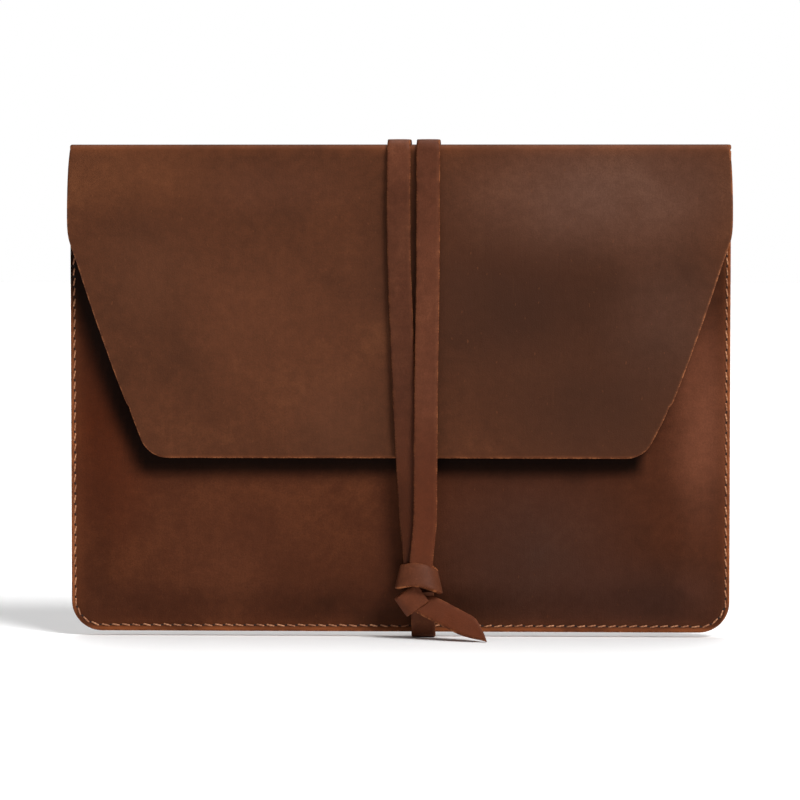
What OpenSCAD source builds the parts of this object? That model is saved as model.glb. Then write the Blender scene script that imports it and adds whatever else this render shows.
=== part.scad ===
// Leather laptop sleeve with a fold-over flap and a flat strap that wraps it and is hitched in front.
// Millimetres, +Z up, front towards -Y. The floor is z = 0.

/* [Sleeve] */
// Width over the side seams
sleeve_w = 272; // [240:1:320]
// Height from the bottom edge to the folded top
sleeve_h = 201; // [180:1:240]
// Thickness of the leather
leather_t = 2; // [1.4:0.1:2.4]
// How far each panel bulges from the seam
bulge = 5; // [3:0.5:7]
// Width of the flat sewn border
seam_flange = 6; // [6:0.5:8]
// Width of the slope between the border and the raised field
seam_ramp = 8; // [5:0.5:12]
// Radius of the two bottom corners
corner_r = 12.5; // [8:0.5:18]
// Thickness of the felt lining
lining_t = 1; // [0.5:0.1:1.5]

/* [Flap] */
// Drop of the flap below the folded top
flap_drop = 128.5; // [100:0.5:150]
// Drop at which the sides of the flap start to slant inwards
flap_shoulder_drop = 43; // [30:1:60]
// Half width of the flap where its slanted sides would meet its bottom edge
flap_end_half_w = 101.5; // [80:0.5:115]
// How far the cut side of the flap stands out past the sleeve
flap_flare = 1.4; // [0:0.1:2]
// Radius of the two flap corners
flap_corner_r = 12; // [6:0.5:18]
// Angle at which the flap stands off the front panel
flap_lean = 1.6; // [0:0.1:2.5]

/* [Strap] */
// Width of the strap
strap_w = 9.6; // [8:0.1:12]
// Thickness of the strap
strap_t = 1.8; // [1.2:0.1:2]
// Height of the lower edge of the strap's sewn end on the back
sewn_end_z = 140; // [130:1:160]
// Length of the loose tail in front of its hitch
tail_len = 25; // [18:0.5:26]
// Angle at which the tail points down
tail_slope = 30; // [26:1:31]
// Angle at which the tail stands off the front
tail_out = 20; // [10:1:30]

/* [Stitching] */
// Distance from one stitch to the next
stitch_pitch = 4.28; // [3.5:0.01:6]
// Length of one stitch
stitch_len = 3.1; // [2:0.1:3.3]
// Width of the thread
thread_w = 0.9; // [0.6:0.1:1.2]
// Height of a stitch over the leather
thread_h = 0.5; // [0.3:0.1:0.7]
// Distance of the side stitching from the edge
side_inset = 1.6; // [1.2:0.1:3]
// Distance of the bottom stitching from the edge
bottom_inset = 2.5; // [1.5:0.1:3]

/* [Hidden] */
$fn = 48;

leather_colour = [0.36, 0.22, 0.15];
strap_colour = [0.42, 0.25, 0.16];
thread_colour = [0.76, 0.54, 0.38];
felt_colour = [0.33, 0.31, 0.29];

// Small clearances
gap = 0.3;            // between soft faces that lie on each other
crease_gap = 0.45;    // between a panel's end and the rounded edge of the cap
flap_gap = 0.5;       // between the flap and the front panel at the fold
hitch_gap = 0.5;      // between the strands and the front wall of the hitch
hair = 0.001;         // keeps a cutter off the plane it starts from
cutter = 400;         // longer than anything it cuts

// Heights
bottom_z = strap_t + gap;              // the strap passes under the bottom edge
top_z = bottom_z + sleeve_h;
crease_z = top_z - leather_t / 2;
panel_top_z = crease_z - leather_t / 2 - crease_gap;
field_z = bottom_z + seam_flange + seam_ramp;
lining_margin = 1;                     // the lining ends this far inside the raised field
mouth_margin = 3;                      // lining and stitches end this far below the mouth
half_w = sleeve_w / 2;

// Depths, counted from the seam plane, which is y = 0 before the model is placed
face_y = bulge + leather_t;                    // outer face of either panel
flap_in_y = face_y + flap_gap;                 // inner face of the flap
flap_out_y = flap_in_y + leather_t;
back_crease_y = face_y - leather_t / 2;
front_crease_y = flap_in_y + leather_t / 2;
strap_in_y = flap_out_y + gap;                 // lower layer of the strap in front
upper_in_y = strap_in_y + strap_t + gap;       // upper layer of the strap in front
band_in_y = upper_in_y + strap_t + hitch_gap;  // front wall of the hitch
back_strap_y = face_y + gap;
seam_strap_y = leather_t + thread_h + gap;     // strap where it crosses the stitched border
flap_stand = (flap_drop - leather_t / 2) * sin(flap_lean);    // how far the flap's lower edge stands out

// Flap outline
flap_ease = 0.3;      // the flap is this much narrower than the sleeve, on each side, at the fold
flare_steps = 8;      // points along the flared side
knee_out = 9.5;       // the slanted side bends a little here, counted from the end of its lower part
knee_up = 21;

// Places along the width
left_x = 0;           // strand that passes under the other one
right_x = 12;         // strand that lies on top
under_x = 9.9;        // strap where it passes under the bottom edge
left_low_x = 6.8;
left_end_x = 7.5;
right_mid_x = 11.1;
right_low_x = 9.1;

// Strap heights
lift_z = crease_z - 2.5;              // level at which the front strands bend away
strand_top_z = lift_z - 1;
slant_z = 158;                        // the strands hang straight above this
right_mid_z = 60;
back_slant_z = 120;                   // the back run is straight above this
cross_over_z = 118;                   // the right strand lies on the left one below this
cross_ramp = 12;
flap_low_z = top_z - flap_drop;
hitch_low_z = 16.5;
hitch_high_z = 31;
turn_top_z = 15.7;
turn_cut_z = strap_t + 2 * gap;       // the loop is parted here, at the foot of the front stretch
run_start_y = -seam_strap_y;

// Tail
tail_x = 15.5;
tail_y = 15.1;
tail_floor_gap = 0.05;
tail_z = (tail_len * cos(tail_out) + strap_t / 2 * sin(tail_out)) * sin(tail_slope) + tail_floor_gap;
tail_shoulder = 0.45;                 // share of the tail's length where its upper edge starts to taper
tail_heel = 0.76;                     // and its lower edge

// The model stands with the middle of its depth on the Y axis
front_reach = tail_y + tail_len * sin(tail_out) + strap_t / 2 * cos(tail_out);
back_reach = back_strap_y + strap_t + thread_h;
sleeve_y = (front_reach - back_reach) / 2;

module place() {
    translate([0, sleeve_y, 0])
        children();
}

// Points of an arc that rounds corner b between its neighbours a and c
function unit(v) = v / norm(v);
function round_corner(a, b, c, r, n = 10) =
    let (u = unit(a - b), w = unit(c - b),
         half = acos(u * w) / 2,
         reach = r / tan(half),
         centre = b + unit(u + w) * r / sin(half),
         p = b + u * reach,
         q = b + w * reach,
         start = atan2(p[1] - centre[1], p[0] - centre[0]),
         turn = atan2(q[1] - centre[1], q[0] - centre[0]) - start,
         sweep = turn > 180 ? turn - 360 : turn < -180 ? turn + 360 : turn)
    [for (i = [0 : n]) centre + r * [cos(start + sweep * i / n), sin(start + sweep * i / n)]];

// A shape drawn as (x, z) and given a depth from y0 to y1, both counted towards the front
module upright(y0, y1) {
    translate([0, -y0, 0])
        rotate([90, 0, 0])
            linear_extrude(y1 - y0)
                children();
}

// The same, through the whole depth
module through() {
    upright(-cutter / 2, cutter / 2)
        children();
}

// A shape drawn as (y, z) and given a width along X, centred
module across(width) {
    rotate([90, 0, 90])
        translate([0, 0, -width / 2])
            linear_extrude(width)
                children();
}

// ---- panels ----

function panel_outline(top) = concat(
    [[-half_w, top]],
    round_corner([-half_w, top], [-half_w, bottom_z], [half_w, bottom_z], corner_r),
    round_corner([-half_w, bottom_z], [half_w, bottom_z], [half_w, top], corner_r),
    [[half_w, top]]);

// Space in front of the seam plane, seen from above: rises from y = low to y = high over the slope
module plan_profile(low, high, edge) {
    polygon([
        [-edge, 0], [-edge, -low], [-half_w + seam_flange, -low], [-half_w + seam_flange + seam_ramp, -high],
        [half_w - seam_flange - seam_ramp, -high], [half_w - seam_flange, -low], [edge, -low], [edge, 0]
    ]);
}

// The same rise, seen from the side
module side_profile(low, high, bottom, top) {
    polygon([
        [0, bottom], [-low, bottom], [-low, bottom_z + seam_flange], [-high, field_z], [-high, top], [0, top]
    ]);
}

module swelling(low, high, edge, bottom, top) {
    intersection() {
        linear_extrude(cutter)
            plan_profile(low, high, edge);
        across(cutter)
            side_profile(low, high, bottom, top);
    }
}

module front_shell(top) {
    difference() {
        intersection() {
            swelling(leather_t, face_y, half_w, bottom_z, top);
            through()
                polygon(panel_outline(top));
        }
        swelling(hair, bulge, half_w - seam_flange, bottom_z + seam_flange, top + 1);
    }
}

module back_panel() {
    color(leather_colour)
        place()
            mirror([0, 1, 0])
                front_shell(panel_top_z);
}

module front_panel() {
    color(leather_colour)
        place()
            front_shell(panel_top_z - gap);
}

module lining(side) {
    lining_half_w = half_w - seam_flange - seam_ramp - lining_margin;
    lining_low_z = field_z + lining_margin;
    lining_high_z = panel_top_z - mouth_margin;
    y = side > 0 ? bulge - lining_t : -bulge;
    translate([-lining_half_w, y, lining_low_z])
        cube([2 * lining_half_w, lining_t, lining_high_z - lining_low_z]);
}

module back_lining() {
    color(felt_colour)
        place()
            lining(1);
}

module front_lining() {
    color(felt_colour)
        place()
            lining(-1);
}

// ---- stitching ----

stitch_r = corner_r - side_inset;
stitch_x = half_w - side_inset;
stitch_low_z = bottom_z + bottom_inset;
stitch_top_z = panel_top_z - mouth_margin;
side_run = stitch_top_z - stitch_low_z - stitch_r;
corner_run = stitch_r * PI / 2;
bottom_run = 2 * (stitch_x - stitch_r);
stitch_run = side_run + corner_run + bottom_run / 2;
stitch_count = floor(stitch_run / stitch_pitch);

// Place and direction of the point s along the right half of the stitching, from the bottom middle
function stitch_at(s) =
    s < bottom_run / 2 ? [s, stitch_low_z, 0]
    : s < bottom_run / 2 + corner_run
        ? let (a = (s - bottom_run / 2) / stitch_r * 180 / PI)
          [stitch_x - stitch_r + stitch_r * sin(a), stitch_low_z + stitch_r - stitch_r * cos(a), a]
        : [stitch_x, stitch_low_z + stitch_r + s - bottom_run / 2 - corner_run, 90];

module half_stitching() {
    for (i = [0 : stitch_count - 1]) {
        spot = stitch_at((i + 0.5) * stitch_pitch);
        translate([spot[0], spot[1]])
            rotate(spot[2])
                square([stitch_len, thread_w], center = true);
    }
}

module stitching() {
    upright(leather_t, leather_t + thread_h) {
        half_stitching();
        mirror([1, 0])
            half_stitching();
    }
}

module front_stitching() {
    color(thread_colour)
        place()
            stitching();
}

module back_stitching() {
    color(thread_colour)
        place()
            mirror([0, 1, 0])
                stitching();
}

// ---- cap and flap ----

// Strip over the mouth, with a rounded edge on each crease
module cap() {
    color(leather_colour)
        place()
            across(sleeve_w)
                union() {
                    translate([-front_crease_y, crease_z - leather_t / 2])
                        square([front_crease_y + back_crease_y, leather_t]);
                    for (y = [-front_crease_y, back_crease_y])
                        translate([y, crease_z])
                            circle(d = leather_t);
                }
}

function flap_side(side) =
    let (flare_x = half_w + flap_flare,
         straight_x = half_w - flap_ease,
         shoulder_z = top_z - flap_shoulder_drop,
         knee = [side * (flap_end_half_w + knee_out), flap_low_z + knee_up],
         toe = [side * flap_end_half_w, flap_low_z])
    concat(
        [for (i = [0 : flare_steps])
            [side * (straight_x + (flare_x - straight_x) * sin(180 * i / flare_steps)),
             panel_top_z - (panel_top_z - shoulder_z) * i / flare_steps]],
        [knee],
        round_corner(knee, toe, [0, flap_low_z], flap_corner_r));

// Turns a shape that hangs at the front crease outwards by the flap's lean
module leaning() {
    translate([0, -front_crease_y, crease_z])
        rotate([-flap_lean, 0, 0])
            translate([0, front_crease_y, -crease_z])
                children();
}

module flap() {
    right_side = flap_side(1);
    left_side = flap_side(-1);
    last = len(left_side) - 1;
    color(leather_colour)
        place()
            leaning()
                upright(flap_in_y, flap_out_y)
                    polygon(concat(right_side, [for (i = [last : -1 : 0]) left_side[i]]));
}

// ---- strap: the outline of each stretch is drawn as (x, z) and its depth as (y, z) ----

// Outline of a strap whose middle runs through the points
module strand_outline(points) {
    polygon(concat(
        [for (p = points) [p[0] - strap_w / 2, p[1]]],
        [for (i = [len(points) - 1 : -1 : 0]) [points[i][0] + strap_w / 2, points[i][1]]]));
}

// The back stretch passes under the bottom edge and rises along the slope and up the raised field
module strap_back_run() {
    color(strap_colour)
        place()
            intersection() {
                across(cutter)
                    polygon([
                        [run_start_y, 0],
                        [seam_strap_y + strap_t, 0],
                        [seam_strap_y + strap_t, bottom_z + seam_flange],
                        [back_strap_y + strap_t, field_z],
                        [back_strap_y + strap_t, panel_top_z],
                        [back_strap_y, panel_top_z],
                        [back_strap_y, field_z],
                        [seam_strap_y, bottom_z + seam_flange],
                        [seam_strap_y, strap_t],
                        [run_start_y, strap_t]
                    ]);
                through()
                    strand_outline([
                        [under_x, -1], [under_x, field_z], [left_x, back_slant_z], [left_x, top_z]
                    ]);
            }
}

// The sewn end has rounded corners
module strap_sewn_end() {
    low_x = right_x - strap_w / 2;
    high_x = right_x + strap_w / 2;
    end_r = strap_w / 3;
    color(strap_colour)
        place()
            upright(-back_strap_y - strap_t, -back_strap_y + gap)
                polygon(concat(
                    [[low_x, panel_top_z]],
                    round_corner([low_x, panel_top_z], [low_x, sewn_end_z], [high_x, sewn_end_z], end_r),
                    round_corner([low_x, sewn_end_z], [high_x, sewn_end_z], [high_x, panel_top_z], end_r),
                    [[high_x, panel_top_z]]));
}

// A box of stitches fixes the sewn end to the back panel
module strap_end_stitching() {
    box_w = 6;
    box_h = 15;
    box_rise = 3.5;       // from the end of the strap to the box
    rows = 4;
    skip = 1;             // between one stitch and the next
    step = box_h / rows;
    color(thread_colour)
        place()
            upright(-back_strap_y - strap_t - thread_h, -back_strap_y - strap_t)
                translate([right_x, sewn_end_z + box_rise]) {
                    for (side = [-1, 1], i = [0 : rows - 1])
                        translate([side * box_w / 2, (i + 0.5) * step])
                            square([thread_w, step - skip], center = true);
                    for (z = [0, box_h], side = [-1, 1])
                        translate([side * box_w / 4, z])
                            square([box_w / 2 - skip, thread_w], center = true);
                }
}

module top_strand(x) {
    reach = 1;
    depth = front_crease_y + back_crease_y - 2 * reach;
    translate([x - strap_w / 2, reach - front_crease_y, top_z + gap])
        cube([strap_w, depth, strap_t]);
}

module strap_top_left() {
    color(strap_colour)
        place()
            top_strand(left_x);
}

module strap_top_right() {
    color(strap_colour)
        place()
            top_strand(right_x);
}

// Depth of the lower layer's inner face at height z: it follows the leaning flap, then returns to the hitch
function strand_y(z) =
    z >= flap_low_z ? strap_in_y + flap_stand * (top_z - z) / flap_drop
    : strap_in_y + flap_stand * max(0, z - hitch_high_z) / (flap_low_z - hitch_high_z);

// Side view of a strand through the heights, each with the number of layers that it lies on
module strand_profile(stations) {
    lift = strap_t + gap;
    last = len(stations) - 1;
    polygon(concat(
        [for (p = stations) [-strand_y(p[0]) - p[1] * lift, p[0]]],
        [for (i = [last : -1 : 0]) let (p = stations[i]) [-strand_y(p[0]) - p[1] * lift - strap_t, p[0]]]));
}

// The left strand keeps to the flap and slants towards the hitch
module strap_left() {
    color(strap_colour)
        place()
            intersection() {
                across(cutter)
                    strand_profile([
                        [strand_top_z, 0], [flap_low_z, 0], [hitch_high_z, 0], [hitch_low_z, 0]
                    ]);
                through()
                    strand_outline([
                        [left_x, strand_top_z], [left_x, slant_z], [left_low_x, hitch_high_z - 1],
                        [left_end_x, hitch_low_z]
                    ]);
            }
}

// The right strand climbs on to the left one where they cross
module strap_right() {
    color(strap_colour)
        place()
            intersection() {
                across(cutter)
                    strand_profile([
                        [strand_top_z, 0], [cross_over_z + cross_ramp, 0], [cross_over_z, 1],
                        [flap_low_z, 1], [hitch_high_z, 1], [hitch_low_z, 1]
                    ]);
                through()
                    strand_outline([
                        [right_x, strand_top_z], [right_x, slant_z], [right_mid_x, right_mid_z],
                        [right_low_x, hitch_high_z - 1], [right_low_x, hitch_low_z]
                    ]);
            }
}

// Rectangle with round corners, from its lowest corner
module round_rect(size, r) {
    union() {
        translate([r, 0])
            square([size[0] - 2 * r, size[1]]);
        translate([0, r])
            square([size[0], size[1] - 2 * r]);
        for (x = [r, size[0] - r], y = [r, size[1] - r])
            translate([x, y])
                circle(r);
    }
}

// The hitch: the strap goes once round both strands
module knot_band() {
    band_x = -0.4;
    band_w = 17.6;
    band_r = 2.2;
    slack = 0.1;
    outline = [
        [3, hitch_high_z], [16.6, 28.5], [17.3, 16.6], [11, 20], [5.5, 22], [-0.5, 20], [0.6, 26]
    ];
    back_wall_y = face_y + 2 * gap;
    inner_back_y = strap_in_y - slack;
    outer_front_y = band_in_y + strap_t;
    color(strap_colour)
        place()
            intersection() {
                difference() {
                    translate([band_x, -outer_front_y, 0])
                        linear_extrude(cutter)
                            round_rect([band_w, outer_front_y - back_wall_y], band_r);
                    translate([band_x + strap_t, -band_in_y, -1])
                        linear_extrude(cutter + 2)
                            square([band_w - 2 * strap_t, band_in_y - inner_back_y]);
                }
                through()
                    polygon(outline);
            }
}

// The turn of the strap that lies across, under the hitch
module knot_cross() {
    slack = 0.1;
    outline = [[-1.5, 16.2], [10.6, 16.2], [9.5, 14.2], [6.6, 10.4], [3.3, 9]];
    color(strap_colour)
        place()
            upright(upper_in_y + slack, upper_in_y + strap_t)
                polygon(outline);
}

// From the hitch down over the slope to the bottom edge
module strap_bottom_turn() {
    bend_rise = 2.2;      // the strap lies flat on the border up to here
    bend_y = seam_strap_y;
    bend_z = bottom_z + bend_rise;
    lean = atan2(strap_in_y - bend_y, turn_top_z - bend_z);
    thick = strap_t / cos(lean);
    color(strap_colour)
        place()
            intersection() {
                across(cutter)
                    polygon([
                        [-strap_in_y, turn_top_z],
                        [-bend_y, bend_z],
                        [-bend_y, turn_cut_z],
                        [-bend_y - strap_t, turn_cut_z],
                        [-bend_y - thick, bend_z],
                        [-strap_in_y - thick, turn_top_z]
                    ]);
                through()
                    strand_outline([[under_x, -1], [under_x, turn_top_z + 1]]);
            }
}

// The free end of the strap, cut to a point, reaches the floor
module strap_tail() {
    color(strap_colour)
        place()
            translate([tail_x, -tail_y, tail_z])
                rotate([0, tail_slope, 0])
                    rotate([0, 0, -tail_out])
                        upright(-strap_t / 2, strap_t / 2)
                            polygon([
                                [0, -strap_w / 2], [tail_len * tail_shoulder, -strap_w / 2], [tail_len, 0],
                                [tail_len * tail_heel, strap_w / 2], [0, strap_w / 2]
                            ]);
}

back_panel();
front_panel();
back_lining();
front_lining();
front_stitching();
back_stitching();
strap_back_run();
strap_sewn_end();
strap_end_stitching();
cap();
strap_top_left();
strap_top_right();
flap();
strap_left();
strap_right();
knot_band();
knot_cross();
strap_bottom_turn();
strap_tail();
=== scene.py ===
import math
import bpy
import numpy as np
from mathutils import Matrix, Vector


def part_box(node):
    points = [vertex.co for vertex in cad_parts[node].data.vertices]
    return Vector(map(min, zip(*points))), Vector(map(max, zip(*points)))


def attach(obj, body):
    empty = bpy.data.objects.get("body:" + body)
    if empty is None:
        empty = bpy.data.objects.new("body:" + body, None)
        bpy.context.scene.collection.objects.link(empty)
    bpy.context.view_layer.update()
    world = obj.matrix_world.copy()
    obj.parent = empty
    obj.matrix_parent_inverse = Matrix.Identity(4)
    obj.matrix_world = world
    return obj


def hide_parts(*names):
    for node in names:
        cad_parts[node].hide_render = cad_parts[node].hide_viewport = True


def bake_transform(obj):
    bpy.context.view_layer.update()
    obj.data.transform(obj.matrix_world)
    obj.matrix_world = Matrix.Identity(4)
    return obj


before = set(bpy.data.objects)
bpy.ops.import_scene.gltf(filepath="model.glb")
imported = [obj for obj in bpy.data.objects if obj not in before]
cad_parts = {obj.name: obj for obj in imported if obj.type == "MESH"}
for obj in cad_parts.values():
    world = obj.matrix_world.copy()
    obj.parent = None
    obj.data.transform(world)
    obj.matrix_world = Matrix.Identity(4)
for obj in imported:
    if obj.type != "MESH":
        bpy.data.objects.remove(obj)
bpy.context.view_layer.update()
MM = 0.001

# ---- sizes and places, in metres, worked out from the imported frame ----

front_low, front_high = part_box("front_panel")
cap_low, cap_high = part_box("cap")
flap_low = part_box("flap")[0]
sewn_low, sewn_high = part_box("strap_sewn_end")
foot_low, foot_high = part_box("strap_bottom_turn")

SEAM_Y = front_high.y  # the two leathers meet here
HALF_W = front_high.x
BOTTOM_Z = front_low.z
PANEL_TOP = front_high.z
TOP_Z = cap_high.z
LEATHER = cap_high.z - cap_low.z  # thickness
BULGE = SEAM_Y - front_low.y - LEATHER  # how far a panel's inner face swells off the seam plane
BACK_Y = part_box("back_panel")[1].y  # outer face of the back
FRONT_Y = cap_low.y  # outer face of the flap where it leaves the fold
CAP_DEPTH = BACK_Y - FRONT_Y
CAP_MID_Y = (BACK_Y + FRONT_Y) / 2
FLAP_DROP = TOP_Z - flap_low.z
FLAP_STAND = FRONT_Y - flap_low.y  # how far the flap's lower edge stands out
FOLD_R = 2.6 * MM  # outer radius of both creases
CORNER_R = 12.5 * MM
CORNER_STEPS = 14
STRAP_W = sewn_high.x - sewn_low.x
STRAP_T = 1.8 * MM
STRAP_GAP = 0.3 * MM
STRAP_LIFT = STRAP_GAP + STRAP_T / 2  # middle of the strap over what it lies on
LEFT_X = 0.0
RIGHT_X = (sewn_low.x + sewn_high.x) / 2
UP = np.array([0, 0, 1.0])
RIGHT = np.array([1.0, 0, 0])
BACKWARD = np.array([0, 1.0, 0])


# ---- small helpers ----

WAVE_COUNT = 7
WAVE_SPREAD = (0.7, 1.8)  # shortest and longest wave, as a share of the length asked for
WAVE_PEAK = 1.5


def smooth(t):
    t = np.clip(t, 0.0, 1.0)
    return t * t * (3 - 2 * t)


def waves(x, s, seed, length):
    """A soft, repeatable unevenness from about -1 to 1 with features about `length` across."""
    rng = np.random.default_rng(seed)
    total = np.zeros_like(np.asarray(x, float) + np.asarray(s, float))
    for _ in range(WAVE_COUNT):
        angle = rng.uniform(0, math.pi)
        k = 2 * math.pi / (length * rng.uniform(*WAVE_SPREAD))
        phase = rng.uniform(0, 2 * math.pi)
        total = total + np.sin(k * (x * math.cos(angle) + s * math.sin(angle)) + phase)
    return total / WAVE_COUNT ** 0.5 / WAVE_PEAK


def make_object(name, verts, faces, material, values=None, flat=None, sharp=()):
    """A smooth-shaded mesh object. values is {attribute: one number per vertex}, flat holds the leather's
    own coordinates, and sharp lists the edges that stay crisp."""
    mesh = bpy.data.meshes.new(name)
    mesh.from_pydata([tuple(v) for v in verts], [], [tuple(f) for f in faces])
    mesh.update()
    mesh.polygons.foreach_set("use_smooth", [True] * len(mesh.polygons))
    if flat is not None:
        layer = mesh.attributes.new("flat", "FLOAT_VECTOR", "POINT")
        layer.data.foreach_set("vector", np.asarray(flat, np.float32).ravel())
    for key, numbers in (values or {}).items():
        layer = mesh.attributes.new(key, "FLOAT", "POINT")
        layer.data.foreach_set("value", np.asarray(numbers, np.float32))
    if sharp:
        wanted = {tuple(sorted(e)) for e in sharp}
        layer = mesh.attributes.new("sharp_edge", "BOOLEAN", "EDGE")
        layer.data.foreach_set("value", [tuple(sorted(e.vertices)) in wanted for e in mesh.edges])
    mesh.materials.append(material)
    obj = bpy.data.objects.new(name, mesh)
    bpy.context.scene.collection.objects.link(obj)
    return obj


# ---- node helpers ----

class Nodes:
    """A thin wrapper that adds and joins shader nodes."""

    def __init__(self, name):
        self.material = bpy.data.materials.new(name)
        self.material.use_nodes = True
        self.tree = self.material.node_tree
        self.tree.nodes.clear()
        self.out = self.add("ShaderNodeOutputMaterial")
        self.bsdf = self.add("ShaderNodeBsdfPrincipled")
        self.link(self.bsdf.outputs[0], self.out.inputs["Surface"])

    def add(self, kind, **settings):
        node = self.tree.nodes.new(kind)
        for key, value in settings.items():
            setattr(node, key, value)
        return node

    def link(self, a, b):
        self.tree.links.new(a, b)

    def put(self, socket, value):
        if isinstance(value, bpy.types.NodeSocket):
            self.link(value, socket)
        else:
            socket.default_value = value

    def finish(self, colour, roughness, normal, **plain):
        """Joins colour, roughness and normal to the shader, and sets the sockets that are even all over."""
        self.link(colour, self.bsdf.inputs["Base Color"])
        self.put(self.bsdf.inputs["Roughness"], roughness)
        if normal is not None:
            self.link(normal, self.bsdf.inputs["Normal"])
        for key, value in plain.items():
            self.bsdf.inputs[key.replace("_", " ")].default_value = value
        return self.material

    def attribute(self, name, output="Fac"):
        return self.add("ShaderNodeAttribute", attribute_name=name).outputs[output]

    def math(self, operation, a, b=0.0, c=0.0, clamp=False):
        node = self.add("ShaderNodeMath", operation=operation, use_clamp=clamp)
        self.put(node.inputs[0], a)
        self.put(node.inputs[1], b)
        self.put(node.inputs[2], c)
        return node.outputs[0]

    def weigh(self, a, share_a, b, share_b):
        """The sum of two patterns, each with its share."""
        return self.math("MULTIPLY_ADD", a, share_a, self.math("MULTIPLY", b, share_b))

    def vary(self, base, pattern, share):
        """base, moved up and down by a share of how far the pattern is from its middle."""
        return self.math("MULTIPLY_ADD", self.math("SUBTRACT", pattern, 0.5), share, base)

    def ramp(self, value, low, high, out_low=0.0, out_high=1.0):
        node = self.add("ShaderNodeMapRange", interpolation_type="SMOOTHSTEP", clamp=True)
        for socket, number in zip(node.inputs[:5], (value, low, high, out_low, out_high)):
            self.put(socket, number)
        return node.outputs[0]

    def stretch(self, vector, scale, offset=(0, 0, 0)):
        node = self.add("ShaderNodeMapping")
        self.put(node.inputs["Vector"], vector)
        node.inputs["Scale"].default_value = scale
        node.inputs["Location"].default_value = offset
        return node.outputs[0]

    def texture(self, kind, output, vector, **numbers):
        node = self.add(kind)
        self.put(node.inputs["Vector"], vector)
        for key, number in numbers.items():
            node.inputs[key].default_value = number
        return node.outputs[output]

    def noise(self, vector, scale, detail=2.0, roughness=0.5, distortion=0.0):
        return self.texture("ShaderNodeTexNoise", "Fac", vector, Scale=scale, Detail=detail,
                            Roughness=roughness, Distortion=distortion)

    def cells(self, vector, scale):
        return self.texture("ShaderNodeTexVoronoi", "Distance", vector, Scale=scale)

    def mix(self, share, a, b):
        node = self.add("ShaderNodeMix", data_type="RGBA")
        self.put(node.inputs[0], share)
        self.put(node.inputs[6], a)
        self.put(node.inputs[7], b)
        return node.outputs[2]

    def patch(self, vector, centre, radius):
        """1 at a place on the leather, fading to 0 at radius (x and s apart)."""
        moved = self.stretch(vector, (1 / radius[0], 1 / radius[1], 0),
                             (-centre[0] / radius[0], -centre[1] / radius[1], 0))
        length = self.add("ShaderNodeVectorMath", operation="LENGTH")
        self.put(length.inputs[0], moved)
        return self.ramp(length.outputs["Value"], 1.0, 0.0)

    def bump(self, height, distance, strength, normal=None):
        node = self.add("ShaderNodeBump")
        node.inputs["Strength"].default_value = strength
        node.inputs["Distance"].default_value = distance
        self.put(node.inputs["Height"], height)
        if normal is not None:
            self.link(normal, node.inputs["Normal"])
        return node.outputs[0]


def rgb(r, g, b):
    """A colour given as the eye reads it, 0 to 255, for a node that works in linear light."""
    def linear(v):
        v /= 255
        return v / 12.92 if v <= 0.04045 else ((v + 0.055) / 1.055) ** 2.4
    return (linear(r), linear(g), linear(b), 1.0)


# ---- materials ----

# scales of the leather's patterns, per metre
CLOUD, STREAK, BLOTCH, SPECK = 11, 34, 42, 260
DUST, FRAY, GRAIN, PORE, FLECK, NAP = 760, 900, 1300, 1500, 1500, 1600
CUT_EDGE = (rgb(104, 57, 33), rgb(176, 108, 66))
STRAP_EDGE = (rgb(92, 46, 26), rgb(166, 100, 60))
SUEDE = (rgb(84, 52, 34), rgb(124, 84, 58))
RUBBED = rgb(146, 80, 44)
# painted shade: a near-black brown that the 'shade' attribute mixes into the leather, for the flap's shadow
# on the front panel and the left strand's shade
PAINTED_SHADE = rgb(12, 3, 0)
PAINTED_SHADE_SHARE = 0.95


def leather_colour(n, tones, patches, edges, tone, blotches, specks, grain, scratches, clouds):
    """Cloudy ground, tints, dark grain, pale scratches and dust, rubbed places, cut edges, painted shade,
    suede.
    """
    dark, middle, light = tones
    flat, rim = n.flat, n.attribute("rim")
    place = n.attribute("flat", "Vector")
    colour = n.mix(n.ramp(tone, 0.30, 0.54), dark, middle)
    colour = n.mix(n.ramp(tone, 0.50, 0.68, 0, 0.75), colour, light)
    uneven = n.vary(1.0, blotches, 0.9)
    for centre, radius, tint, share in patches:
        here = n.patch(place, centre, radius)
        colour = n.mix(n.math("MULTIPLY", here, n.math("MULTIPLY", uneven, share), clamp=True), colour, tint)
    colour = n.mix(n.ramp(n.weigh(grain, 0.5, specks, 0.35), 0.30, 0.56, 0.30, 0.0), colour, dark)
    colour = n.mix(n.ramp(scratches, 0.68, 0.80, 0.0, 0.10), colour, light)
    dust = n.noise(n.stretch(flat, (1, 0.45, 1)), DUST, 1.0)
    colour = n.mix(n.ramp(dust, 0.70, 0.80, 0.0, 0.40), colour, light)
    rubbed = n.math("MULTIPLY", n.attribute("wear"), n.ramp(blotches, 0.30, 0.62, 0.35, 1.0), clamp=True)
    colour = n.mix(rubbed, colour, RUBBED)
    flecks = n.weigh(n.noise(flat, FLECK, 2.0), 0.5, n.noise(flat, SPECK, 2.0), 0.5)
    edge_colour = n.mix(n.ramp(flecks, 0.44, 0.62), *edges)
    colour = n.mix(n.math("MULTIPLY", rim, n.ramp(specks, 0.3, 0.7, 0.8, 1.0)), colour, edge_colour)
    # painted shade, wherever the 'shade' attribute asks for it
    colour = n.mix(n.math("MULTIPLY", n.attribute("shade"), PAINTED_SHADE_SHARE), colour, PAINTED_SHADE)
    nap = n.weigh(n.noise(flat, NAP, 3.0, 0.7), 0.8, clouds, 0.2)
    return n.mix(n.attribute("flesh"), colour, n.mix(n.ramp(nap, 0.30, 0.70), *SUEDE))


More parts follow.
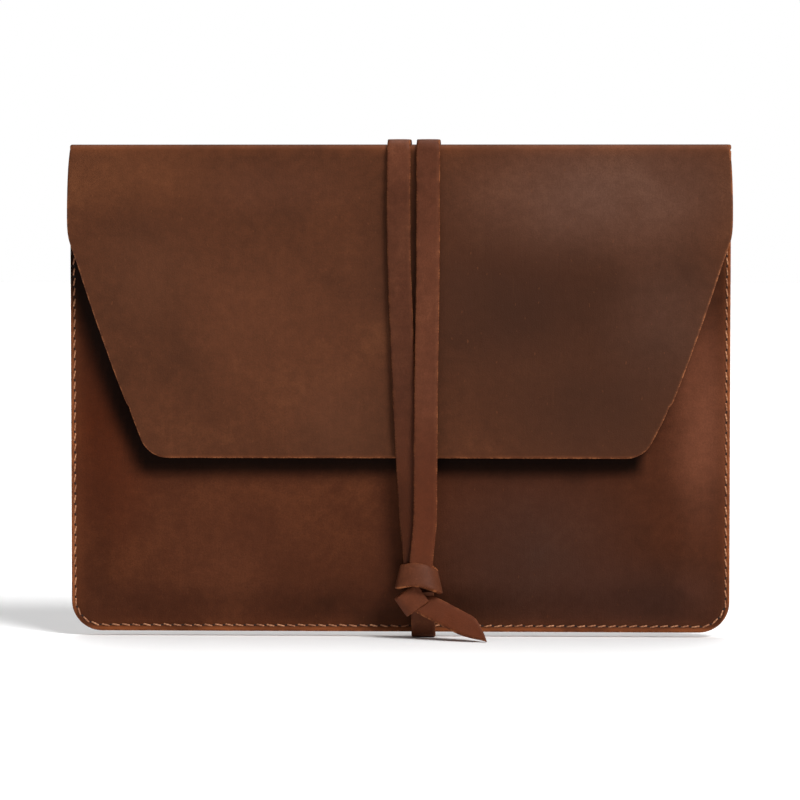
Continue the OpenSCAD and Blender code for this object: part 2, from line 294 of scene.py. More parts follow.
def leather(name, tones, seed, patches, gloss=0.0, shine=0.09, edges=CUT_EDGE):
    """Waxed pull-up leather, in dark, middle and light tones. It reads the leather's own coordinates, so
    nothing slides when it folds. Each patch is a centre and radius (x, s) in metres, a tint and its share."""
    n = Nodes(name)
    n.flat = n.stretch(n.attribute("flat", "Vector"), (1, 1, 1), (seed, seed * 0.7, 0))
    bare = n.math("MAXIMUM", n.attribute("rim"), n.attribute("flesh"))

    clouds = n.noise(n.flat, CLOUD, 3.0, 0.5, 0.4)
    blotches = n.noise(n.flat, BLOTCH, 3.0, 0.55, 0.6)
    specks = n.noise(n.flat, SPECK, 3.0, 0.6)
    grain = n.noise(n.flat, GRAIN, 3.0, 0.65)
    streaks = n.noise(n.stretch(n.flat, (5, 1, 1)), STREAK, 3.0, 0.6)
    scratches = n.noise(n.stretch(n.flat, (16, 1, 1)), BLOTCH, 2.0, 0.5, 0.3)
    tone = n.weigh(blotches, 0.28, clouds, 0.72)
    for pattern, share in ((specks, 0.16), (grain, 0.10), (streaks, 0.04)):
        tone = n.vary(tone, pattern, share)
    colour = leather_colour(n, tones, patches, edges, tone, blotches, specks, grain, scratches, clouds)

    roughness = n.vary(n.ramp(tone, 0.35, 0.65, 0.60 - gloss, 0.50 - gloss), grain, 0.25)
    roughness = n.math("MAXIMUM", roughness, n.math("MULTIPLY", bare, 0.9))

    pitted = n.weigh(n.ramp(n.cells(n.flat, PORE), 0.0, 0.5), 0.5, grain, 0.8)
    normal = n.bump(n.math("MULTIPLY_ADD", scratches, 0.5, pitted), 0.10 * MM, 0.75)
    normal = n.bump(n.math("MULTIPLY_ADD", specks, 0.4, streaks), 0.5 * MM, 0.35, normal)
    normal = n.bump(n.math("MULTIPLY", n.noise(n.flat, FRAY, 3.0, 0.8), bare), 0.4 * MM, 0.8, normal)
    return n.finish(colour, roughness, normal, IOR=1.45, Specular_IOR_Level=shine)


def thread_material():
    """Waxed thread: slanting plies, darker in their grooves and here and there soiled."""
    n = Nodes("waxed_thread")
    flat = n.attribute("flat", "Vector")
    ply = n.add("ShaderNodeTexWave", bands_direction="DIAGONAL")
    n.put(ply.inputs["Vector"], flat)
    ply.inputs["Scale"].default_value = 420
    ply.inputs["Distortion"].default_value = 0.6
    twist = ply.outputs["Fac"]
    fuzz = n.noise(flat, 2600)
    soil = n.noise(flat, 60)
    colour = n.mix(n.ramp(soil, 0.35, 0.65), rgb(148, 92, 58), rgb(190, 132, 92))
    colour = n.mix(n.ramp(twist, 0.0, 0.55, 0.55, 0.0), colour, rgb(110, 62, 38))
    normal = n.bump(fuzz, 0.05 * MM, 0.6, n.bump(twist, 0.15 * MM, 0.8))
    return n.finish(colour, n.ramp(fuzz, 0.2, 0.8, 0.5, 0.75), normal)


def hole_material():
    """Painted shade for the inside of a stitch hole: the shallow hole is coloured near-black."""
    n = Nodes("stitch_hole")
    hole_mottle = n.noise(n.attribute("flat", "Vector"), 900)
    # painted shade: the shallow hole is near-black, as a deep one looks in its own shade
    colour = n.mix(n.ramp(hole_mottle, 0.3, 0.7), rgb(14, 7, 4), rgb(36, 18, 10))
    return n.finish(colour, n.ramp(hole_mottle, 0.2, 0.8, 0.85, 1.0), n.bump(hole_mottle, 0.1 * MM, 0.5))


def felt_material():
    """Grey wool felt: matted fibres over soft lumps."""
    n = Nodes("wool_felt")
    flat = n.attribute("flat", "Vector")
    fibres = n.noise(n.stretch(flat, (1, 2.2, 1)), 900, 4.0, 0.75, 2.0)
    lumps = n.noise(flat, 90, 3.0, 0.6)
    colour = n.mix(n.ramp(n.weigh(fibres, 0.6, lumps, 0.4), 0.35, 0.65), rgb(72, 66, 60), rgb(112, 104, 95))
    normal = n.bump(lumps, 0.8 * MM, 0.3, n.bump(fibres, 0.4 * MM, 0.9))
    roughness = n.ramp(fibres, 0.2, 0.8, 0.88, 1.0)
    return n.finish(colour, roughness, normal, Sheen_Weight=0.3, Sheen_Roughness=0.6)


def floor_material():
    """Plain white paper with a faint tooth."""
    n = Nodes("paper_floor")
    tooth = n.noise(n.add("ShaderNodeNewGeometry").outputs["Position"], 60)
    colour = n.mix(tooth, (0.93, 0.93, 0.93, 1), (0.95, 0.95, 0.95, 1))
    return n.finish(colour, 0.9, None, Specular_IOR_Level=0.1)


def glow_material():
    """An even white backdrop that gives its own light."""
    material = bpy.data.materials.new("backdrop_glow")
    material.use_nodes = True
    tree = material.node_tree
    tree.nodes.clear()
    lamp = tree.nodes.new("ShaderNodeEmission")
    lamp.inputs["Strength"].default_value = 1.0
    tree.links.new(lamp.outputs[0], tree.nodes.new("ShaderNodeOutputMaterial").inputs["Surface"])
    return material


# on the flap s runs down from the front crease, and on the back it is below zero
HIDE_PATCHES = [
    ((0.045, 0.062), (0.085, 0.060), rgb(55, 32, 22), 0.75),
    ((0.085, 0.108), (0.080, 0.045), rgb(58, 34, 23), 0.75),
    ((-0.062, 0.070), (0.080, 0.050), rgb(99, 57, 36), 0.45),
    ((-0.110, 0.012), (0.060, 0.022), rgb(107, 62, 37), 0.55),
    # the pale, greyish patch at the flap's top right is in part painted sheen, in part the waxed leather's
    # own tone
    ((0.085, 0.020), (0.085, 0.036), rgb(100, 70, 57), 0.70),
    ((0.112, 0.070), (0.040, 0.050), rgb(80, 54, 43), 0.50),
    ((-0.050, 0.018), (0.050, 0.018), rgb(92, 54, 37), 0.40),
    ((-0.024, 0.112), (0.034, 0.034), rgb(94, 55, 35), 0.75),
    ((-0.104, 0.052), (0.034, 0.034), rgb(94, 55, 35), 0.60),
    ((-0.050, -0.090), (0.080, 0.060), rgb(99, 57, 36), 0.45),
    ((0.070, -0.140), (0.080, 0.060), rgb(53, 30, 22), 0.60),
    ((0.060, -0.050), (0.060, 0.030), rgb(93, 59, 43), 0.50),
]
# s runs down the front panel from its top edge
FRONT_PATCHES = [
    ((-0.120, 0.110), (0.030, 0.080), rgb(81, 34, 14), 0.70),
    ((-0.070, 0.165), (0.050, 0.040), rgb(86, 47, 30), 0.40),
    # the greyish patches low on the right are in part painted sheen, in part the leather's own tone
    ((0.055, 0.165), (0.060, 0.050), rgb(58, 39, 32), 0.70),
    ((0.125, 0.110), (0.022, 0.060), rgb(113, 66, 46), 0.70),
    ((0.100, 0.185), (0.060, 0.025), rgb(65, 42, 35), 0.50),
]
# on the strap x is 0.05 further on for each stretch in turn, and s is the distance along the strap
STRAP_PATCHES = [
    ((0.05, 0.465), (0.03, 0.060), rgb(92, 42, 18), 0.70),
    ((0.10, 0.465), (0.03, 0.060), rgb(92, 43, 22), 0.70),
    ((0.40, 0.612), (0.03, 0.030), rgb(104, 54, 33), 0.60),
    ((0.45, 0.662), (0.03, 0.040), rgb(92, 43, 22), 0.85),
]

HIDE_TONES = (rgb(62, 34, 19), rgb(83, 46, 27), rgb(106, 62, 37))
FRONT_TONES = (rgb(56, 29, 16), rgb(74, 38, 22), rgb(92, 50, 29))
STRAP_TONES = (rgb(72, 38, 23), rgb(94, 52, 34), rgb(118, 70, 47))

hide_leather = leather("hide_leather", HIDE_TONES, 3.1, HIDE_PATCHES)
front_leather = leather("front_leather", FRONT_TONES, 8.7, FRONT_PATCHES, shine=0.05)
strap_leather = leather("strap_leather", STRAP_TONES, 5.3, STRAP_PATCHES, gloss=0.03, edges=STRAP_EDGE)
thread = thread_material()
hole_dark = hole_material()
felt = felt_material()


# ---- a sheet of leather cut to a U-shaped outline ----

# rows of points inside the outline, closest together at its edge
INSETS = np.array([0.9, 1.2, 1.6, 2.0, 2.4, 2.9, 3.6, 4.6, 6.0, 7.6, 9.2, 10.6]) * MM
EDGE_PROFILE = [  # inset from the outline, depth as a share of the thickness, how much of it is bare edge
    (0.45 * MM, 0.03, 0.30), (0.14 * MM, 0.16, 0.85), (0.0, 0.42, 1.0),
    (0.0, 0.78, 1.0), (0.12 * MM, 0.95, 1.0), (0.40 * MM, 1.0, 0.7),
]
SAME_PLACE = 1e7  # places per metre: points at the same place are one


def flat_grid(left, right, columns):
    """The flat points of a U-shaped cut, its quads, its rows down to the corners and its bottom line."""
    numbers, points = {}, []

    def index(x, s):
        key = (round(x * SAME_PLACE), round(s * SAME_PLACE))
        if key not in numbers:
            numbers[key] = len(points)
            points.append((x, s))
        return numbers[key]

    rows = []
    for (lx, ls, lnx, lns), (rx, rs, rnx, rns) in zip(left, right):
        row = [index(lx + lnx * d, ls + lns * d) for d in INSETS]
        inner_l = np.array([lx + lnx * INSETS[-1], ls + lns * INSETS[-1]])
        inner_r = np.array([rx + rnx * INSETS[-1], rs + rns * INSETS[-1]])
        for j in range(1, columns):
            x, s = inner_l + (inner_r - inner_l) * j / columns
            row.append(index(x, s))
        row += [index(rx + rnx * d, rs + rns * d) for d in INSETS[::-1]]
        rows.append(row)
    quads = []
    for upper, lower in zip(rows, rows[1:]):
        for j in range(len(upper) - 1):
            quads.append((upper[j], lower[j], lower[j + 1], upper[j + 1]))

    # below the last row the lines run along the bottom edge
    first = len(INSETS) - 1
    inner_line = rows[-1][first:first + columns + 1]
    end_l, end_r = left[-1], right[-1]
    line = inner_line
    for d in INSETS[-2::-1]:
        above = line
        line = [index(end_l[0] + end_l[2] * d, end_l[1] + end_l[3] * d)]
        line += [index(points[v][0], end_l[1] - d) for v in inner_line[1:-1]]
        line.append(index(end_r[0] + end_r[2] * d, end_r[1] + end_r[3] * d))
        for j in range(columns):
            quads.append((above[j], line[j], line[j + 1], above[j + 1]))
    return points, quads, rows, line


def u_sheet(name, left, right, columns, place, material, texture, wear, free_top=False, shade=None):
    """left and right are rails of (x, s, nx, ns) from the top to where the bottom edge begins, with inward
    normals. place(x, s, depth) gives points in space, with depth counted from the grain side.
    texture(x, s) gives the leather's own coordinates. free_top: the top is a cut edge and not a join."""
    points, quads, rows, bottom_line = flat_grid(left, right, columns)

    # the outline, walked from the top left, along the bottom, to the top right
    chain = [(row[0], rail) for row, rail in zip(rows, left)]
    chain += [(v, (points[v][0], left[-1][1], 0.0, -1.0)) for v in bottom_line[1:-1]]
    chain += [(row[-1], rail) for row, rail in reversed(list(zip(rows, right)))]
    if free_top:
        chain += [(v, (points[v][0], left[0][1], 0.0, 1.0)) for v in reversed(rows[0][1:-1])]

    # grain side, inner side, and the rings of the rounded edge between them
    count, around = len(points), len(chain)
    xs, ss = np.array(points).T
    flat_x, flat_s = [xs, xs], [ss, ss]
    depths = [np.zeros(count), np.full(count, LEATHER)]
    rims, fleshes = [np.zeros(count), np.zeros(count)], [np.zeros(count), np.ones(count)]
    for inset, share, bare in EDGE_PROFILE:
        flat_x.append(np.array([r[0] + r[2] * inset for _, r in chain]))
        flat_s.append(np.array([r[1] + r[3] * inset for _, r in chain]))
        depths.append(np.full(around, LEATHER * share))
        rims.append(np.full(around, bare))
        fleshes.append(np.zeros(around))
    starts = [2 * count + k * around for k in range(len(EDGE_PROFILE))]
    rings = [[v for v, _ in chain]] + [list(range(start, start + around)) for start in starts]
    rings.append([v + count for v, _ in chain])

    faces = [q[::-1] for q in quads] + [tuple(v + count for v in q) for q in quads]
    for a, b in zip(rings, rings[1:]):
        for k in range(around if free_top else around - 1):
            m = (k + 1) % around
            faces.append((a[k], a[m], b[m], b[k]))
    sharp = []
    if not free_top:
        left_end = [ring[0] for ring in rings[-2:0:-1]]
        right_end = [ring[-1] for ring in rings[1:-1]]
        loop = rows[0] + right_end + [v + count for v in rows[0][::-1]] + left_end
        faces.append(tuple(loop))
        sharp = list(zip(loop, loop[1:] + loop[:1]))

    x, s, depth = np.concatenate(flat_x), np.concatenate(flat_s), np.concatenate(depths)
    values = {"rim": np.concatenate(rims), "flesh": np.concatenate(fleshes)}
    values["wear"] = wear(x, s) * (1 - values["flesh"])
    values["shade"] = shade(x, s) if shade else np.zeros(len(x))
    return make_object(name, place(x, s, depth), faces, material, values, texture(x, s), sharp)


def rail_from(points):
    """Adds inward normals to an outline's points, whose x is counted outwards."""
    p = np.array(points)
    t = np.gradient(p, axis=0)
    t /= np.linalg.norm(t, axis=1)[:, None]
    return [(x, s, -ts, tx) for (x, s), (tx, ts) in zip(p, t)]


def sided(rail, side):
    """The rail on the left, -1, or on the right, 1."""
    return [(side * x, s, side * nx, ns) for x, s, nx, ns in rail]


def corner_points(a, b, c, radius):
    """The arc that rounds corner b between a and c."""
    a, b, c = (np.array(v, float) for v in (a, b, c))
    u, w = (a - b) / np.linalg.norm(a - b), (c - b) / np.linalg.norm(c - b)
    half = math.acos(float(u @ w)) / 2
    centre = b + (u + w) / np.linalg.norm(u + w) * radius / math.sin(half)
    p, q = b + u * radius / math.tan(half), b + w * radius / math.tan(half)
    a0 = math.atan2(*(p - centre)[::-1])
    turn = (math.atan2(*(q - centre)[::-1]) - a0 + math.pi) % (2 * math.pi) - math.pi
    angles = [a0 + turn * i / CORNER_STEPS for i in range(CORNER_STEPS + 1)]
    return [tuple(centre + radius * np.array([math.cos(angle), math.sin(angle)])) for angle in angles]


def panel_rail(top_s, bottom_s):
    """Straight side and round bottom corner of either panel, as (x, s) with x outwards."""
    arc = corner_points((HALF_W, top_s), (HALF_W, bottom_s), (0, bottom_s), CORNER_R)
    count = int((arc[0][1] - top_s) / RAIL_STEP)
    side = [(HALF_W, top_s + (arc[0][1] - top_s) * i / count) for i in range(count)]
    rail = rail_from(side + arc)
    last = rail[-1]
    rail[-1] = (last[0], last[1], 0.0, -1.0)
    return rail


# ---- the two panels ----

RAIL_STEP = 2.4 * MM
PANEL_COLUMNS = 96
SIDE_INSET = 1.6 * MM  # from the stitches to the side edge
BOTTOM_INSET = 2.5 * MM
STITCH_R = CORNER_R - SIDE_INSET
SEAM_TURN_X = HALF_W - SIDE_INSET - STITCH_R
SEAM_TURN_UP = BOTTOM_INSET + STITCH_R
FLANGE = 4.5 * MM  # the two leathers lie together this far in from the edge
RISE = 17 * MM  # and swell apart over this much more
CALM_BORDER = 12 * MM
UNEVEN = 0.28 * MM
UNEVEN_LENGTH = 60 * MM
GROOVE_DEPTH = 0.38 * MM
GROOVE_W = 0.75 * MM


def from_seam(x, up):
    """Distance from the line of stitches; up is the height over the bottom edge."""
    qx, qz = np.abs(x) - SEAM_TURN_X, SEAM_TURN_UP - up
    outside = np.hypot(np.maximum(qx, 0), np.maximum(qz, 0))
    return np.abs(outside + np.minimum(np.maximum(qx, qz), 0) - STITCH_R)


def swell(x, up):
    """How far a panel's inner face stands off the seam plane."""
    across = smooth((HALF_W - np.abs(x) - FLANGE) / RISE)
    along = smooth((up - FLANGE) / RISE)
    return BULGE * across * along


def relief(x, up, seed):
    """Fine unevenness of a panel, and the groove that the stitches pull into it."""
    calm = smooth((HALF_W - np.abs(x)) / CALM_BORDER) * smooth(up / CALM_BORDER)
    groove = GROOVE_DEPTH * np.exp(-(from_seam(x, up) / GROOVE_W) ** 2)
    return groove - UNEVEN * calm * waves(x, up, seed, UNEVEN_LENGTH)


def front_place(x, s, depth):
    """s runs down from the panel's top edge."""
    up = PANEL_TOP - s - BOTTOM_Z
    share = 1 - depth / LEATHER
    out = swell(x, up) + (LEATHER - depth) - relief(x, up, 11) * share
    return np.stack([x, SEAM_Y - out, BOTTOM_Z + up], axis=1)


def down_texture(x, s):
    """The leather's own coordinates on a piece whose s runs down the front."""
    return np.stack([x, s, np.zeros_like(x)], axis=1)


def panel_wear(x, up):
    """The border outside the stitches is rubbed paler, and a wider one faintly."""
    edge = np.minimum(HALF_W - np.abs(x), up)
    return 0.62 * (1 - smooth((edge - 0.8 * MM) / (1.8 * MM))) + 0.14 * (1 - smooth(edge / (7 * MM)))


# rough outline of the flap, which the painted shadow on the front panel follows
COVER_DROPS = np.array([0, 41, 107, 128.5]) * MM
COVER_HALF_WIDTHS = np.array([136, 136, 112, 101]) * MM
SHADOW_SLIP = 6 * MM  # on the left the painted shadow's outline lies this much lower than the flap's
# how far the painted shadow reaches past the flap's edge, and over what width it fades
SHADOW_BELOW, BELOW_FADE = 11 * MM, 8 * MM
SHADOW_LEFT, LEFT_FADE = 11 * MM, 9.5 * MM
SHADOW_RIGHT, RIGHT_FADE = 1 * MM, 5 * MM
# under the flap the painted shadow pales by this share, over this distance in from the flap's edge
SHADOW_INSIDE = 42 * MM
SHADOW_PALER = 0.66


def cover_half_width(drop):
    """Rough half width of the flap at a drop below the fold."""
    return np.interp(drop, COVER_DROPS, COVER_HALF_WIDTHS)


def painted_flap_shadow(x, s):
    """Painted shadow of the flap on the front panel: darkest just past the flap's edge, below it and on the
    left, and paler under the flap.
    """
    drop = s + TOP_Z - PANEL_TOP
    low = smooth((FLAP_DROP + SHADOW_BELOW - drop) / BELOW_FADE)
    left = smooth((cover_half_width(drop - SHADOW_SLIP) + SHADOW_LEFT + x) / LEFT_FADE)
    right = smooth((cover_half_width(drop) + SHADOW_RIGHT - x) / RIGHT_FADE)
    inside = np.minimum(FLAP_DROP - drop, cover_half_width(drop) - np.abs(x))
    return low * left * right * (1 - SHADOW_PALER * smooth(inside / SHADOW_INSIDE))


front_bottom_s = PANEL_TOP - BOTTOM_Z
front_rail = panel_rail(0.0, front_bottom_s)
# the front panel carries the flap's painted shadow in its colour
front_panel = u_sheet("front_panel_leather", sided(front_rail, -1), sided(front_rail, 1), PANEL_COLUMNS,
                      front_place, front_leather, down_texture,
                      lambda x, s: panel_wear(x, front_bottom_s - s), free_top=True, shade=painted_flap_shadow)
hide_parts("front_panel")
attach(front_panel, "sleeve")


# The hide is one cut: up the back, over the mouth and down the flap. It is made in two pieces that meet
# in the middle of the cap, and each bends at its own crease.

SEWN_FROM = 4 * MM  # below the fold the back is drawn in to the seam, from here
SEWN_RUN = 22 * MM  # and over this length
CREASE_CALM = 8 * MM


def over_crease(s):
    """Path over a crease: s is 0 at the crease, below it when positive, on the cap when negative.
    Gives the distance in from the outer face, the drop below the top, and the outward direction."""
    t = np.clip((s + FOLD_R) / (2 * FOLD_R), 0, 1) * math.pi / 2
    inward = np.where(s < -FOLD_R, -s, FOLD_R * (1 - np.sin(t)))
    drop = np.where(s > FOLD_R, s, FOLD_R * (1 - np.cos(t)))
    return inward, drop, np.sin(t), np.cos(t)


def back_place(x, s, depth):
    """s runs down from the back crease."""
    inward, drop, out, rise = over_crease(s)
    up = TOP_Z - drop - BOTTOM_Z
    pulled = (BULGE - swell(x, up)) * smooth((drop - SEWN_FROM) / SEWN_RUN)
    share = 1 - depth / LEATHER
    fine = relief(x, up, 23) * share * smooth(drop / CREASE_CALM) * out
    y = BACK_Y - inward - depth * out - pulled - fine
    z = TOP_Z - drop - depth * rise
    return np.stack([x, y, z], axis=1)


def back_texture(x, s):
    """The hide's own coordinates go on over the cap, so the back carries on from the flap."""
    return np.stack([x, -s - CAP_DEPTH, np.zeros_like(x)], axis=1)


def crease_wear(s):
    """Both creases are rubbed a little paler."""
    return 0.22 * np.exp(-((s - 0.6 * MM) / (2.2 * MM)) ** 2)


def back_wear(x, s):
    return np.maximum(crease_wear(s), panel_wear(x, back_bottom_s - s))


back_bottom_s = TOP_Z - BOTTOM_Z
cap_steps = [-CAP_DEPTH / 2, -5.6 * MM, -4.2 * MM, -3.2 * MM]
fold_steps = [FOLD_R * (i / 4 - 1) for i in range(9)]
over_steps = cap_steps + fold_steps  # stations from the middle of the cap to the end of the crease
back_rail = [(HALF_W, s, -1.0, 0.0) for s in over_steps] + panel_rail(4 * MM, back_bottom_s)
back_panel = u_sheet("back_panel_leather", sided(back_rail, -1), sided(back_rail, 1), PANEL_COLUMNS,
                     back_place, hide_leather, back_texture, back_wear)
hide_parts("back_panel")
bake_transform(back_panel)


# ---- the flap ----

FLAP_SIDE = [  # drop below the fold, half width: a slight flare, a round shoulder, then the slanted cut
    (-8.0, 135.9), (-2.0, 135.1), (0.0, 134.9), (3.0, 135.3), (8.0, 135.9), (16.0, 136.3), (25.0, 136.5),
    (33.0, 136.5), (37.5, 136.2), (41.0, 135.3), (44.0, 134.0), (48.0, 132.6), (60.0, 128.7), (75.0, 123.6),
    (90.0, 118.2), (100.0, 114.4), (107.5, 111.4),
]
FLAP_LEFT_END, FLAP_RIGHT_END = 103.0 * MM, 100.3 * MM  # half widths at the lower corners
FLAP_CORNER_R = 12 * MM
FLAP_COLUMNS = 104
FLAP_STEPS = (4.2 * MM, 107.0 * MM, 1.7 * MM)  # first drop, last drop and step of the stations
KNEE_STEPS = 4
KNEE_TUCK = 0.2 * MM
SMOOTHING_ROUNDS = 3
LEAN_POWER = 1.15
CURL = 0.9 * MM  # how far the lower corners curl away
CURL_MID_X = 6 * MM


def flap_rail(end_half_w):
    control = np.array(FLAP_SIDE) * MM
    stations = over_steps + list(np.arange(*FLAP_STEPS))
    side = [(float(np.interp(s, control[:, 0], control[:, 1])), float(s)) for s in stations]
    knee = (control[-1][1] - KNEE_TUCK, control[-1][0])
    arc = corner_points(knee, (end_half_w, FLAP_DROP), (0, FLAP_DROP), FLAP_CORNER_R)
    run = (arc[0][0] - knee[0], arc[0][1] - knee[1])
    shares = [i / KNEE_STEPS for i in range(KNEE_STEPS)]
    between = [(knee[0] + run[0] * share, knee[1] + run[1] * share) for share in shares]
    points = side + between + arc
    xs = np.array([p[0] for p in points])
    # round off the shoulder and the knee
    first, last = len(over_steps) + 1, len(side) + 2
    for _ in range(SMOOTHING_ROUNDS):
        xs[first:last] = (xs[first - 1:last - 1] + 2 * xs[first:last] + xs[first + 1:last + 1]) / 4
    rail = rail_from([(float(x), p[1]) for x, p in zip(xs, points)])
    for i in range(len(over_steps)):
        rail[i] = (rail[i][0], rail[i][1], -1.0, 0.0)
    rail[-1] = (rail[-1][0], rail[-1][1], 0.0, -1.0)
    return rail


def flap_stand(x, drop):
    """How far the flap hangs in front of the plane of its crease."""
    share = np.clip(drop / FLAP_DROP, 0, 1)
    lean = FLAP_STAND * share ** LEAN_POWER
    away = np.abs(x - CURL_MID_X) / HALF_W
    curl = CURL * smooth((share - 0.25) / 0.75) * away ** 2
    return lean + curl + 0.30 * MM * waves(x, drop, 31, 75 * MM) * smooth(drop / (14 * MM))


def flap_place(x, s, depth):
    """s runs down from the front crease."""
    inward, drop, out, rise = over_crease(s)
    y = FRONT_Y + inward + depth * out - flap_stand(x, drop)
    z = TOP_Z - drop - depth * rise
    return np.stack([x, y, z], axis=1)


def flap_wear(x, s):
    low = 0.30 * (1 - smooth((FLAP_DROP - s) / (1.6 * MM)))
    return np.maximum(crease_wear(s), low)


flap = u_sheet("flap_leather", sided(flap_rail(FLAP_LEFT_END), -1), sided(flap_rail(FLAP_RIGHT_END), 1),
               FLAP_COLUMNS, flap_place, hide_leather, down_texture, flap_wear)
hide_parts("flap", "cap")
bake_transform(flap)


# ---- linings ----

FELT = 0.9 * MM
FELT_CLEARANCE = 0.12 * MM
FELT_COLUMNS, FELT_ROWS = 60, 46
FELT_TEXTURE_STEP = 0.3


def lining(name, node, side):
    """A felt sheet that lies on the inner face of a panel: side is 1 for the back and -1 for the front."""
    low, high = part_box(node)
    xs, zs = np.linspace(low.x, high.x, FELT_COLUMNS + 1), np.linspace(low.z, high.z, FELT_ROWS + 1)
    gx, gz = (a.ravel() for a in np.meshgrid(xs, zs))
    ripple = 0.12 * MM * waves(gx, gz, 41 + side, 45 * MM)
    reach = swell(gx, gz - BOTTOM_Z) - FELT_CLEARANCE
    outer = np.stack([gx, SEAM_Y + side * reach, gz], 1)
    inner = np.stack([gx, SEAM_Y + side * (reach - FELT) + ripple, gz], 1)
    count, stride = len(gx), FELT_COLUMNS + 1
    faces = []
    for j in range(FELT_ROWS):
        for i in range(FELT_COLUMNS):
            a = j * stride + i
            quad = (a, a + 1, a + stride + 1, a + stride)[::-side]
            faces.append(quad)
            faces.append(tuple(v + count for v in quad[::-1]))
    border = [i for i in range(FELT_COLUMNS)] + [j * stride + FELT_COLUMNS for j in range(FELT_ROWS)]
    border += [FELT_ROWS * stride + i for i in range(FELT_COLUMNS, 0, -1)]
    border += [j * stride for j in range(FELT_ROWS, 0, -1)]
    for a, b in zip(border, border[1:] + border[:1]):
        faces.append((a, a + count, b + count, b)[::-side])
    flat = np.stack([np.tile(gx, 2), np.tile(gz, 2), np.full(2 * count, FELT_TEXTURE_STEP * side)], 1)
    sheet = make_object(name, np.concatenate([outer, inner]), faces, felt, flat=flat)
    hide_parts(node)
    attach(sheet, "sleeve")


lining("felt_back", "back_lining", 1)
lining("felt_front", "front_lining", -1)


# ---- stitching ----

PITCH = 4.28 * MM
STITCH_L = 3.25 * MM
THREAD_R = 0.33 * MM
SEAM_TOP_GAP = 4 * MM  # the seam stops this far under the front panel's top edge
STITCH_TILT, TILT_SPREAD = 11, 3  # degrees
STITCH_LIFT = 0.14 * MM
HOLE_LIFT = 0.04 * MM
HOLE_HALF_L, HOLE_HALF_W = 0.62 * MM, 0.50 * MM
HOLE_RINGS = ((0.6, 0.06 * MM), (1.0, 0.0), (0.8, -0.10 * MM))  # share of the size, height


def seam_spot(t):
    """Place (x, height over the bottom edge) and direction at t to the right of the bottom middle."""
    arc = STITCH_R * math.pi / 2
    if t < SEAM_TURN_X:
        return t, BOTTOM_INSET, 0.0
    if t < SEAM_TURN_X + arc:
        a = (t - SEAM_TURN_X) / STITCH_R
        return SEAM_TURN_X + STITCH_R * math.sin(a), BOTTOM_INSET + STITCH_R * (1 - math.cos(a)), a
    return HALF_W - SIDE_INSET, SEAM_TURN_UP + t - SEAM_TURN_X - arc, math.pi / 2


def seam_length():
    """From the bottom middle to the top of one side."""
    up = PANEL_TOP - SEAM_TOP_GAP - BOTTOM_Z - SEAM_TURN_UP
    return SEAM_TURN_X + STITCH_R * math.pi / 2 + up


def tube_faces(first, rings, sides):
    """The quads between rings of points, which start at a first number."""
    faces = []
    for a in range(first, first + (rings - 1) * sides, sides):
        for k in range(sides):
            m = (k + 1) % sides
            faces.append((a + k, a + sides + k, a + sides + m, a + m))
    return faces


class Collector:
    """Gathers many small closed bodies into one mesh."""

    def __init__(self):
        self.verts, self.faces, self.flat = [], [], []

    def add(self, verts, faces, flat):
        start = len(self.verts)
        self.verts += [tuple(v) for v in verts]
        self.faces += [tuple(start + i for i in f) for f in faces]
        self.flat += [tuple(f) for f in flat]

    def build(self, name, material, node=None):
        obj = make_object(name, self.verts, self.faces, material, flat=self.flat)
        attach(obj, "sleeve")
        if node:
            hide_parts(node)


def add_stitch(store, middle, along, out, length, serial):
    """One twisted stitch: it rises from one hole and dives into the next."""
    rings, sides = 13, 8
    across = np.cross(out, along)
    verts, flat = [], []
    for i in range(rings):
        t = i / (rings - 1)
        height = 0.30 * MM * math.sin(math.pi * t) ** 0.6 - 0.16 * MM
        slim = 0.72 + 0.28 * math.sin(math.pi * t) ** 0.5
        centre = middle + along * (t - 0.5) * length + out * height
        for k in range(sides):
            a = 2 * math.pi * k / sides
            r = THREAD_R * slim * (1 + 0.13 * math.cos(2 * (a - 2.2 * math.pi * t)))
            verts.append(centre + across * r * math.cos(a) + out * r * 0.85 * math.sin(a))
            flat.append((serial * 0.013 + (t - 0.5) * length, a * THREAD_R, 0))
    ends = [tuple(range(sides)), tuple(range((rings - 1) * sides, rings * sides))[::-1]]
    store.add(verts, tube_faces(0, rings, sides) + ends, flat)


def add_hole(store, middle, along, out, serial):
    """A shallow eyelet where two stitches meet, coloured dark as painted shade for the hole."""
    across = np.cross(out, along)
    sides = 10
    verts, flat = [middle + out * 0.07 * MM], [(serial * 0.011, 0, 0)]
    for share, height in HOLE_RINGS:
        for k in range(sides):
            a = 2 * math.pi * k / sides
            spread = along * math.cos(a) * HOLE_HALF_L + across * math.sin(a) * HOLE_HALF_W
            verts.append(middle + spread * share + out * height)
            flat.append((serial * 0.011 + math.cos(a) * MM, math.sin(a) * MM, 0))
    verts.append(middle - out * 0.12 * MM)
    flat.append((serial * 0.011, 0, 0))
    last = 1 + (len(HOLE_RINGS) - 1) * sides
    top = [(1 + k, 1 + (k + 1) % sides, 0) for k in range(sides)]
    bottom = [(last + k, len(verts) - 1, last + (k + 1) % sides) for k in range(sides)]
    store.add(verts, top + tube_faces(1, len(HOLE_RINGS), sides) + bottom, flat)


